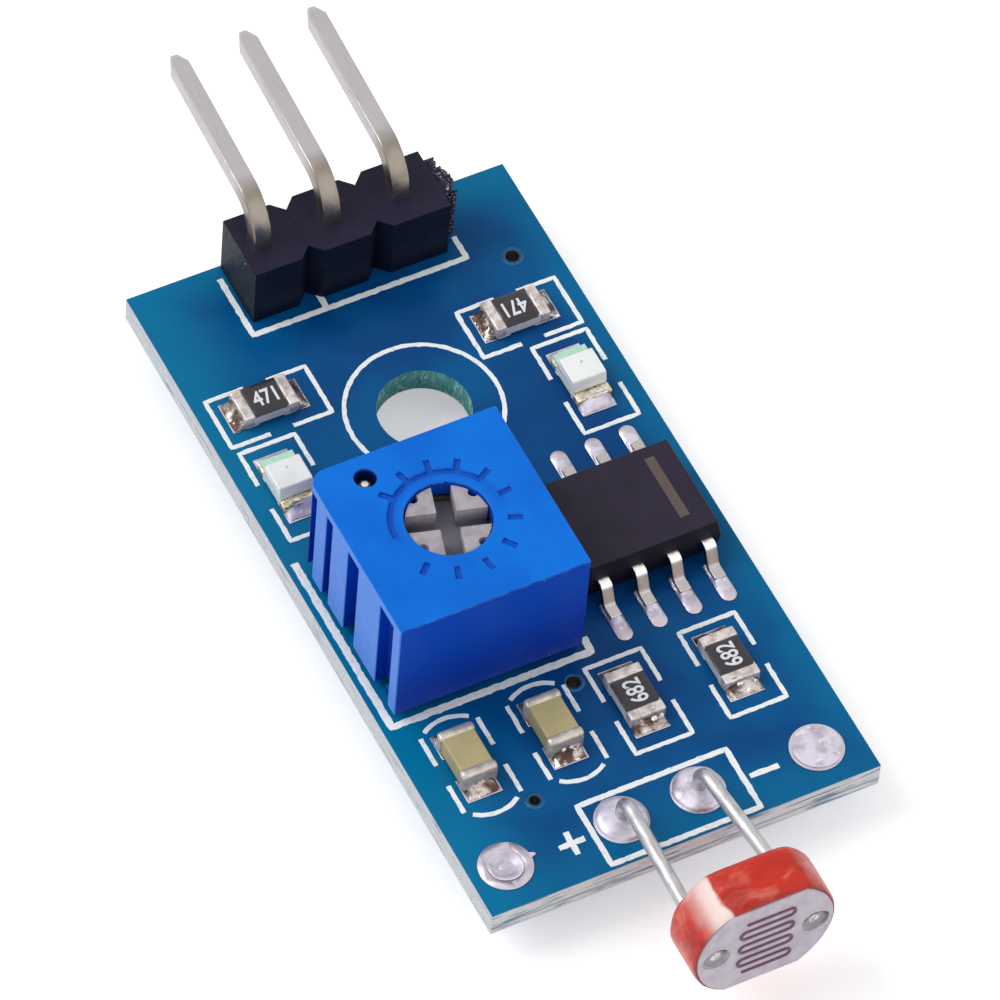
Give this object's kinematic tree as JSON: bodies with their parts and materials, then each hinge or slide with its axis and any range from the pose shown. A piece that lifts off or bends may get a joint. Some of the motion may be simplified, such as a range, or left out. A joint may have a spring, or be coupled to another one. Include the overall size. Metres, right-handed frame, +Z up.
{
  "type": "light sensor module",
  "caption": "Small circuit module that senses light: a light-dependent resistor on two leads, a comparator, a trimmer with a cross-slotted rotor, chip parts and a bent pin header.",
  "frame": {"origin": "axis of the mounting hole, on the board's underside", "axes": "+X across the board's width, +Y along the board towards the pin header, +Z up from the component side"},
  "size_m": [0.014, 0.038, 0.0074],
  "materials": {
    "board_mask": "glossy solder mask over glass-fibre board",
    "pad_metal": "tinned copper",
    "legend_ink": "printed white ink",
    "header_plastic": "moulded black plastic",
    "pin_plating": "plated, slightly brushed",
    "solder": "bright solder",
    "trimmer_plastic": "moulded blue plastic",
    "rotor_plastic": "moulded grey plastic",
    "spring_alloy": "rolled spring strip",
    "seal_rubber": "soft",
    "track_film": "fired resistive film",
    "white_ceramic": "fired ceramic",
    "potting_resin": "cast resin",
    "chip_mould": "moulded black resin",
    "resistor_glaze": "black glaze",
    "capacitor_ceramic": "tan fired ceramic",
    "chip_metal": "tinned",
    "lamp_resin": "milky clear resin",
    "sensor_face": "glazed grey ceramic",
    "sensor_film": "dark light-sensitive film",
    "sensor_resin": "glossy red resin"
  },
  "bodies": {
    "board": {"pcb": "board_mask", "pads": "pad_metal", "legend": "legend_ink", "header_housing": "header_plastic", "header_pin_1": "pin_plating", "header_pin_2": "pin_plating", "header_pin_3": "pin_plating", "header_solder": "solder", "trimmer_case": "trimmer_plastic", "trimmer_track": "track_film", "trimmer_substrate": "white_ceramic", "trimmer_base": "potting_resin", "trimmer_pin_1": "chip_metal", "trimmer_pin_2": "chip_metal", "trimmer_pin_3": "chip_metal", "trimmer_solder": "solder", "comparator_body": "chip_mould", "comparator_lead_1": "chip_metal", "comparator_lead_2": "chip_metal", "comparator_lead_3": "chip_metal", "comparator_lead_4": "chip_metal", "comparator_lead_5": "chip_metal", "comparator_lead_6": "chip_metal", "comparator_lead_7": "chip_metal", "comparator_lead_8": "chip_metal", "resistor_1_core": "white_ceramic", "resistor_1_ends": "chip_metal", "resistor_1_coat": "resistor_glaze", "resistor_2_core": "white_ceramic", "resistor_2_ends": "chip_metal", "resistor_2_coat": "resistor_glaze", "resistor_3_core": "white_ceramic", "resistor_3_ends": "chip_metal", "resistor_3_coat": "resistor_glaze", "resistor_4_core": "white_ceramic", "resistor_4_ends": "chip_metal", "resistor_4_coat": "resistor_glaze", "capacitor_1_body": "capacitor_ceramic", "capacitor_1_ends": "chip_metal", "capacitor_2_body": "capacitor_ceramic", "capacitor_2_ends": "chip_metal", "lamp_1_base": "white_ceramic", "lamp_1_ends": "chip_metal", "lamp_1_lens": "lamp_resin", "lamp_2_base": "white_ceramic", "lamp_2_ends": "chip_metal", "lamp_2_lens": "lamp_resin", "sensor_ceramic": "sensor_face", "sensor_track": "sensor_film", "sensor_coat": "sensor_resin", "sensor_lead_1": "chip_metal", "sensor_lead_2": "chip_metal", "sensor_solder": "solder", "spare_pad_solder": "solder"},
    "rotor": {"trimmer_rotor": "rotor_plastic", "trimmer_wiper": "spring_alloy", "trimmer_seal": "seal_rubber"}
  },
  "joints": [
    {"name": "trimmer_turn", "type": "hinge", "parent": "board", "child": "rotor", "pos_m": [-0.0031, -0.0074, 0.0049], "axis": [0, 0, 1], "range_deg": [-130, 130]}
  ]
}
